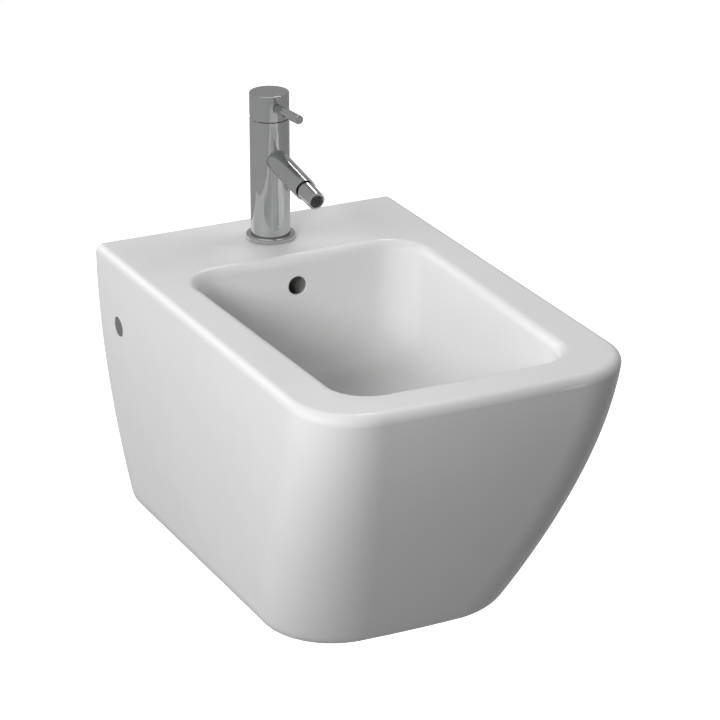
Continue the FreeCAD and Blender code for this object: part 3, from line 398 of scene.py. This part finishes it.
@dataclass(frozen=True)
class Chrome(Finish):
    """Bright plate over polished metal, with faint polishing lines."""

    drift: Cloud = Cloud(26.0)
    lines: Cloud = Cloud(90.0, 3.0, (14.0, 14.0, 1.0))
    ripple: Cloud = Cloud(55.0)
    ripple_relief: Relief = Relief(0.02, 0.001)

    def paint(self, tree: ShaderTree) -> None:
        """Lay the plate.

        Args:
            tree: The material's nodes.
        """
        tree.feed("Base Color", self.toned(tree, self.drift))
        tree.feed("Metallic", 1.0)
        tree.feed("Roughness", tree.ranged(tree.noise(self.lines), MOST, self.rough))
        tree.emboss(tree.noise(self.ripple), self.ripple_relief)


@dataclass(frozen=True)
class Zinc(Finish):
    """Zinc plate with its crystal spangle."""

    spangles: float = 340.0
    grain: Cloud = Cloud(700.0, 3.0)
    grain_relief: Relief = Relief(0.08, 0.0004)

    def paint(self, tree: ShaderTree) -> None:
        """Lay the spangle.

        Args:
            tree: The material's nodes.
        """
        spangle = tree.cells(self.spangles)
        tree.feed("Base Color", tree.blend(spangle, self.tone, self.other))
        tree.feed("Metallic", 1.0)
        tree.feed("Roughness", tree.ranged(spangle, FULL, self.rough))
        tree.emboss(tree.noise(self.grain), self.grain_relief)


@dataclass(frozen=True)
class Brass(Finish):
    """Turned brass, dulled by air in places."""

    dulling: Cloud = Cloud(70.0, 4.0)
    dulled: Range = (0.4, 0.65)
    polish: Cloud = Cloud(160.0, 3.0)
    rings: float = 420.0
    ring_relief: Relief = Relief(0.12, 0.0002)

    def paint(self, tree: ShaderTree) -> None:
        """Lay the brass and its lathe rings.

        Args:
            tree: The material's nodes.
        """
        tree.feed("Base Color", self.toned(tree, self.dulling, self.dulled))
        tree.feed("Metallic", 1.0)
        tree.feed("Roughness", tree.ranged(tree.noise(self.polish), MOST, self.rough))
        tree.emboss(tree.turned(self.rings), self.ring_relief)


@dataclass(frozen=True)
class Moulded(Finish):
    """Moulded rubber, plastic or fine ceramic, with a fine grain."""

    grain: Cloud = Cloud(900.0)
    grain_relief: Relief = Relief(0.15, 0.0003)
    drift: Cloud = Cloud(50.0, 3.0)

    def paint(self, tree: ShaderTree) -> None:
        """Lay the grain.

        Args:
            tree: The material's nodes.
        """
        tree.feed("Base Color", self.toned(tree, self.drift))
        grain = tree.noise(self.grain)
        tree.feed("Roughness", tree.ranged(grain, MOST, self.rough))
        tree.emboss(grain, self.grain_relief)


GLAZE = Glaze("white_glaze", (0.735, 0.735, 0.732), (0.715, 0.716, 0.714), (0.18, 0.26))
CHROME = Chrome("chrome_plate_on_brass", (0.55, 0.555, 0.56), (0.52, 0.525, 0.53), (0.04, 0.09))
CHROMED_PLASTIC = Chrome(
    "chromed_plastic", (0.34, 0.345, 0.35), (0.31, 0.315, 0.32), (0.14, 0.22))
ZINC = Zinc("zinc_plated_steel", (0.60, 0.60, 0.58), (0.52, 0.53, 0.53), (0.28, 0.42))
SPRING_STEEL = Zinc("spring_steel", (0.50, 0.50, 0.50), (0.44, 0.44, 0.45), (0.22, 0.34))
BRASS = Brass("turned_brass", (0.72, 0.55, 0.28), (0.58, 0.43, 0.22), (0.22, 0.36))
RUBBER = Moulded(
    "black_rubber", (0.030, 0.030, 0.030), (0.045, 0.044, 0.043), (0.55, 0.75),
    Cloud(1200.0), Relief(0.15, 0.0002))
NYLON = Moulded(
    "pale_moulded_plastic", (0.80, 0.79, 0.76), (0.74, 0.735, 0.71), (0.34, 0.48))
GREY_PLASTIC = Moulded(
    "dark_moulded_plastic", (0.060, 0.061, 0.064), (0.045, 0.045, 0.048), (0.30, 0.45))
DISC_CERAMIC = Moulded(
    "lapped_ceramic", (0.88, 0.865, 0.82), (0.84, 0.82, 0.78), (0.16, 0.28),
    Cloud(1500.0), Relief(0.15, 0.0001))


class Bench:
    """Steps of modelling by hand, each on the piece in work alone."""

    @staticmethod
    def clear() -> None:
        """Deselect everything, so that operators act on the new piece alone."""
        if bpy.context.object is not None and bpy.context.object.mode != "OBJECT":
            bpy.ops.object.mode_set(mode="OBJECT")
        bpy.ops.object.select_all(action="DESELECT")

    @staticmethod
    def take(piece: bpy.types.Object) -> None:
        """Make a piece the only selected and active one.

        Args:
            piece: The piece to work on.
        """
        Bench.clear()
        piece.select_set(True)
        bpy.context.view_layer.objects.active = piece

    @staticmethod
    def apply(piece: bpy.types.Object, kind: str, **settings: object) -> None:
        """Add a modifier and apply it.

        Args:
            piece: The piece in work.
            kind: Blender's name of the modifier.
            settings: The modifier's properties.
        """
        Bench.take(piece)
        modifier = piece.modifiers.new(kind.lower(), kind)
        for key, value in settings.items():
            setattr(modifier, key, value)
        bpy.ops.object.modifier_apply(modifier=modifier.name)

    @staticmethod
    def merge() -> None:
        """Select all of the piece in edit mode and merge its doubles."""
        bpy.ops.mesh.select_all(action="SELECT")
        bpy.ops.mesh.remove_doubles(threshold=MERGE_GAP)

    @staticmethod
    def settle(piece: bpy.types.Object) -> None:
        """Put the place in the mesh, merge doubles, turn the faces outwards and smooth.

        Args:
            piece: The piece in work.
        """
        Bench.take(piece)
        bpy.ops.object.transform_apply(location=True, rotation=True, scale=True)
        bpy.ops.object.mode_set(mode="EDIT")
        Bench.merge()
        bpy.ops.mesh.normals_make_consistent(inside=False)
        bpy.ops.object.mode_set(mode="OBJECT")
        bpy.ops.object.shade_smooth_by_angle(angle=math.radians(SMOOTH_DEG))
        Bench.clear()

    @staticmethod
    def finish(piece: bpy.types.Object, name: str, finish: Finish, slot: Slot, body: Body) -> None:
        """Name a piece, give it its finish, and set it on its body.

        Args:
            piece: The piece that is done.
            name: Its name.
            finish: Its finish.
            slot: The record's material slot; not used.
            body: The body that it rides on.
        """
        piece.name = name
        piece.data.name = name
        piece.data.materials.clear()
        piece.data.materials.append(finish.material())
        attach(piece, body.value)
        LOG.info("made %s in %s", name, finish.name)


class SubAssembly:
    """Pieces that belong together, with the finish of each."""

    def finishes(self) -> dict[str, Finish]:
        """Choose the finish of each CAD node.

        Returns:
            The nodes' names, each with its finish.
        """
        raise NotImplementedError

    def dress(self) -> None:
        """Give each CAD node its finish."""
        for node, finish in self.finishes().items():
            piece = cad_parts[node]
            piece.data.materials.clear()
            piece.data.materials.append(finish.material())
            LOG.info("dressed %s in %s", node, finish.name)

    def build(self) -> None:
        """Dress the CAD nodes. A sub-assembly with new pieces builds them too."""
        self.dress()


@dataclass
class Ware(SubAssembly):
    """The glazed ceramic, with the caps over its side screws."""

    ceramic: Finish = GLAZE
    cap: Finish = CHROMED_PLASTIC

    def finishes(self) -> dict[str, Finish]:
        """Glaze the ceramic and plate its caps."""
        return {"ceramic_body": self.ceramic, "left_side_cap": self.cap,
                "right_side_cap": self.cap}


@dataclass
class WallFixing(SubAssembly):
    """The brackets on the wall's studs, and the screws that draw the ceramic on to them."""

    steel: Finish = ZINC

    def finishes(self) -> dict[str, Finish]:
        """Plate all of it with zinc."""
        return {node: self.steel for node in (
            "left_wall_bracket", "right_wall_bracket", "bracket_washers", "bracket_nuts",
            "side_screws", "side_screw_washers")}


@dataclass
class Mixer(SubAssembly):
    """The mixer's column and spout, with what clamps it to the deck."""

    plate: Finish = CHROME
    seal: Finish = RUBBER
    clamp: Finish = ZINC
    nut: Finish = BRASS

    def finishes(self) -> dict[str, Finish]:
        """Plate what shows, and leave the clamp plain."""
        return {
            "base_ring": self.plate, "mixer_body": self.plate, "dome_cover": self.plate,
            "base_seal": self.seal, "fixing_stud": self.clamp, "horseshoe_rubber": self.seal,
            "horseshoe_steel": self.clamp, "fixing_nut": self.nut}


@dataclass
class Cartridge(SubAssembly):
    """The ceramic-disc cartridge inside the column."""

    moulding: Finish = NYLON
    seal: Finish = RUBBER
    disc: Finish = DISC_CERAMIC
    pin: Finish = ZINC
    brass: Finish = BRASS

    def finishes(self) -> dict[str, Finish]:
        """Choose pale mouldings, lapped discs and brass."""
        return {
            "cartridge_base": self.moulding, "cartridge_housing": self.moulding,
            "stem_turret": self.moulding, "disc_carrier": self.moulding,
            "port_seals": self.seal, "fixed_disc": self.disc, "moving_disc": self.disc,
            "stem_pin": self.pin, "lever_stem": self.brass, "cartridge_nut": self.brass}


@dataclass
class Handle(SubAssembly):
    """The handle with its pin lever and its grub screw."""

    plate: Finish = CHROME
    screw: Finish = ZINC
    plug: Finish = CHROMED_PLASTIC

    def finishes(self) -> dict[str, Finish]:
        """Plate the handle, its lever and the plug over the screw."""
        return {"handle_cap": self.plate, "lever_pin": self.plate, "grub_screw": self.screw,
                "grub_plug": self.plug}


@dataclass
class Nozzle(SubAssembly):
    """The ball nozzle in the spout's end."""

    plate: Finish = CHROME
    seal: Finish = RUBBER
    insert: Finish = GREY_PLASTIC

    def finishes(self) -> dict[str, Finish]:
        """Plate the ring and the nozzle round a dark insert."""
        return {
            "swivel_ring": self.plate, "ball_seal": self.seal, "swivel_nozzle": self.plate,
            "aerator_insert": self.insert, "aerator_seal": self.seal}


@dataclass
class Waste(SubAssembly):
    """The waste through the bowl's floor, with its push plug on a coil spring."""

    plate: Finish = CHROME
    seal: Finish = RUBBER
    moulding: Finish = NYLON
    brass: Finish = BRASS
    drain: Point = (0.0, -0.290, 0.0)
    wire: float = 1.2 * MM
    coil_radius: float = 5.4 * MM
    live_turns: int = 4
    travel: float = 8.0 * MM
    sides: int = 12
    steps: int = 40

    def finishes(self) -> dict[str, Finish]:
        """Plate what shows in the bowl and below it."""
        return {
            "waste_flange": self.plate, "flange_seal": self.seal, "lower_seal": self.seal,
            "lower_washer": self.moulding, "back_nut": self.brass, "waste_tail": self.plate,
            "plug_cap": self.plate, "plug_seal": self.seal, "plug_spindle": self.brass,
            "plug_guide": self.moulding}

    def coil(self, low: float, pitch: float, turns: int) -> bpy.types.Object:
        """Wind a stretch of round wire.

        Args:
            low: The height of the wire's centre at its start.
            pitch: Its rise in a turn.
            turns: Whole turns.

        Returns:
            The open tube.
        """
        Bench.clear()
        start = (self.drain[0] + self.coil_radius, self.drain[1], low)
        bpy.ops.mesh.primitive_circle_add(vertices=self.sides, radius=self.wire / 2.0,
                                          location=start, rotation=(math.pi / 2.0, 0.0, 0.0))
        tube = bpy.context.object
        bpy.ops.object.transform_apply(location=False, rotation=True, scale=True)
        bpy.context.scene.cursor.location = self.drain
        bpy.ops.object.origin_set(type="ORIGIN_CURSOR")
        Bench.apply(tube, "SCREW", axis="Z", screw_offset=pitch, iterations=turns,
                    steps=self.steps, render_steps=self.steps, use_merge_vertices=False)
        return tube

    def spring(self) -> None:
        """Wind the plug's spring, with a closed turn at each end."""
        low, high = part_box("plug_spring")
        first = low.z + self.wire / 2.0
        last = high.z - self.wire / 2.0
        pitch = (last - first - 2.0 * self.wire) / self.live_turns
        stretches = [self.coil(first, self.wire, 1),
                     self.coil(first + self.wire, pitch, self.live_turns),
                     self.coil(last - self.wire, self.wire, 1)]
        Bench.clear()
        for tube in stretches:
            tube.select_set(True)
        bpy.context.view_layer.objects.active = stretches[0]
        bpy.ops.object.join()
        spring = bpy.context.object
        bpy.ops.object.mode_set(mode="EDIT")
        Bench.merge()
        bpy.ops.mesh.select_all(action="DESELECT")
        bpy.ops.mesh.select_mode(type="EDGE")
        bpy.ops.mesh.select_non_manifold()
        bpy.ops.mesh.edge_face_add()
        Bench.settle(spring)
        Bench.finish(spring, "plug_spring_coil", SPRING_STEEL, Slot.STEEL, Body.BIDET)
        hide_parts("plug_spring")
        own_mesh(spring)

    def build(self) -> None:
        """Dress the waste and wind the spring."""
        self.dress()
        self.spring()


@dataclass(frozen=True)
class Lamp:
    """A soft square light that looks at one point.

    A mirrored lamp shows in shiny surfaces. One with lights_only lights that CAD node alone.
    """

    name: str
    towards: Point
    away: float
    size: float
    watts: float
    mirrored: bool = False
    lights_only: str = ""

    def hang(self, target: Point) -> None:
        """Hang the lamp.

        Args:
            target: The point that it looks at.
        """
        light = bpy.data.lights.new(self.name, "AREA")
        light.energy = self.watts
        light.shape = "SQUARE"
        light.size = self.size
        holder = bpy.data.objects.new(self.name, light)
        towards = Vector(self.towards).normalized()
        holder.location = Vector(target) + towards * self.away
        holder.rotation_euler = towards.to_track_quat("Z", "Y").to_euler()
        holder.visible_glossy = self.mirrored
        if self.lights_only:
            lit = bpy.data.collections.new(self.name)
            lit.objects.link(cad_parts[self.lights_only])
            holder.light_linking.receiver_collection = lit
        bpy.context.scene.collection.objects.link(holder)


@dataclass
class Studio:
    """The floor, the light and the camera."""

    floor_z: float = -0.90
    floor_size: float = 8.0
    floor_seen: float = 0.90
    floor_bounce: float = 0.25
    glow: float = 0.90
    ambient: float = 0.02
    lamps: tuple[Lamp, ...] = (
        Lamp("left_lamp", (-0.92, 0.00, 0.39), 3.0, 2.2, 54.5),
        Lamp("key_lamp", (-0.68, -0.63, 0.375), 3.0, 0.8, 52.5),
        Lamp("back_lamp", (0.17, 0.65, 0.74), 3.5, 2.0, 47.0),
        Lamp("right_lamp", (0.82, 0.00, 0.57), 3.0, 2.0, 37.0),
        Lamp("edge_lamp", (-0.36, 0.83, 0.40), 2.0, 1.0, 4.5, mirrored=True,
             lights_only="ceramic_body"),
        Lamp("glint_lamp", (0.36, 0.66, 0.66), 2.6, 0.25, 2.0, mirrored=True))
    surround_radius: float = 2.2
    surround_lift: float = 0.01
    surround_top: float = 3.6
    surround_left: float = 0.475
    surround_right: float = 0.335
    surround_sides: int = 96
    target: Point = (0.0109, -0.260, 0.0029)
    azimuth_deg: float = -26.39
    elevation_deg: float = 22.22
    distance: float = 3.424
    lens_mm: float = 163.1
    sensor_mm: float = 36.0
    farthest: float = 100.0

    def by_ray(self, nodes: Nodes, lighting: float, showing: float) -> Socket:
        """Choose a strength by the kind of ray.

        Args:
            nodes: The nodes that ask.
            lighting: The strength for rays that only carry light.
            showing: The strength for camera, glossy and transmission rays.

        Returns:
            The strength.
        """
        path = nodes.node("ShaderNodeLightPath", {})
        shown = path.outputs["Is Camera Ray"]
        for ray in ("Is Glossy Ray", "Is Transmission Ray"):
            shown = nodes.math(Math.LARGEST, shown, path.outputs[ray])
        return nodes.ranged(shown, FULL, (lighting, showing))

    def covered(self, piece: bpy.types.Object, name: str) -> Nodes:
        """Name a piece of the stage and give it a material with no nodes yet.

        Args:
            piece: The floor or the surround.
            name: Its name, and its material's.

        Returns:
            The material's nodes.
        """
        piece.name = name
        material = bpy.data.materials.new(name)
        material.use_nodes = True
        material.node_tree.nodes.clear()
        piece.data.materials.append(material)
        return Nodes(material.node_tree)

    def floor(self) -> None:
        """Lay the white floor, which keeps the shadow."""
        Bench.clear()
        middle = (0.0, 0.0, self.floor_z)
        bpy.ops.mesh.primitive_plane_add(size=self.floor_size, location=middle)
        floor = bpy.context.object
        nodes = self.covered(floor, "studio_floor")
        colour = self.by_ray(nodes, self.floor_bounce, self.floor_seen)
        matt = nodes.node("ShaderNodeBsdfDiffuse", {"Color": colour})
        strength = self.by_ray(nodes, 0.0, self.glow)
        light = nodes.node("ShaderNodeEmission", {"Strength": strength})
        both = nodes.node("ShaderNodeAddShader", {0: matt.outputs[0], 1: light.outputs[0]})
        nodes.node("ShaderNodeOutputMaterial", {"Surface": both.outputs[0]})

    def surround(self) -> None:
        """Stand a grey surround that only bright metal and glaze show."""
        Bench.clear()
        middle = (self.target[0], self.target[1], self.floor_z + self.surround_lift)
        bpy.ops.mesh.primitive_circle_add(vertices=self.surround_sides,
                                          radius=self.surround_radius, location=middle)
        wall = bpy.context.object
        bpy.ops.object.mode_set(mode="EDIT")
        bpy.ops.mesh.select_all(action="SELECT")
        rise = (0.0, 0.0, self.surround_top - self.floor_z)
        bpy.ops.mesh.extrude_region_move(TRANSFORM_OT_translate={"value": rise})
        bpy.ops.mesh.select_all(action="INVERT")
        bpy.ops.mesh.edge_face_add()
        bpy.ops.object.mode_set(mode="OBJECT")
        nodes = self.covered(wall, "studio_surround")
        place = nodes.node("ShaderNodeTexCoord", {}).outputs["Object"]
        across = nodes.node("ShaderNodeSeparateXYZ", {"Vector": place}).outputs[Axis.X.value]
        grey = nodes.ranged(across, (-self.surround_radius, self.surround_radius),
                            (self.surround_left, self.surround_right))
        light = nodes.node("ShaderNodeEmission", {"Color": WHITE, "Strength": grey})
        nodes.node("ShaderNodeOutputMaterial", {"Surface": light.outputs[0]})
        wall.visible_camera = False
        wall.visible_diffuse = False
        wall.visible_shadow = False
        wall.visible_transmission = False

    def world(self) -> None:
        """Set the soft light from all round, white where it shows."""
        world = bpy.data.worlds.new("studio")
        world.use_nodes = True
        nodes = Nodes(world.node_tree)
        sky = nodes.nodes["Background"]
        nodes.put(sky.inputs["Color"], WHITE)
        nodes.put(sky.inputs["Strength"], self.by_ray(nodes, self.ambient, 1.0))
        bpy.context.scene.world = world

    def camera(self) -> None:
        """Set the camera at the viewing angle."""
        turn = math.radians(self.azimuth_deg)
        rise = math.radians(self.elevation_deg)
        level = math.cos(rise)
        back = Vector((math.sin(turn) * level, -math.cos(turn) * level, math.sin(rise)))
        view = bpy.data.cameras.new("view")
        view.sensor_width = self.sensor_mm
        view.lens = self.lens_mm
        view.clip_end = self.farthest
        holder = bpy.data.objects.new("view", view)
        holder.location = Vector(self.target) + back * self.distance
        holder.rotation_euler = back.to_track_quat("Z", "Y").to_euler()
        bpy.context.scene.collection.objects.link(holder)
        bpy.context.scene.camera = holder

    def build(self) -> None:
        """Set up the whole studio."""
        self.floor()
        self.surround()
        self.world()
        for lamp in self.lamps:
            lamp.hang(self.target)
        self.camera()
        bpy.context.scene.view_settings.view_transform = "Standard"


def main() -> None:
    """Build the bidet's looks, from the ceramic to the waste, and then the studio."""
    logging.basicConfig(level=logging.INFO, format="%(name)s: %(message)s")
    for part in (Ware(), WallFixing(), Mixer(), Cartridge(), Handle(), Nozzle(), Waste()):
        part.build()
    Studio().build()


if __name__ == "__main__":
    main()
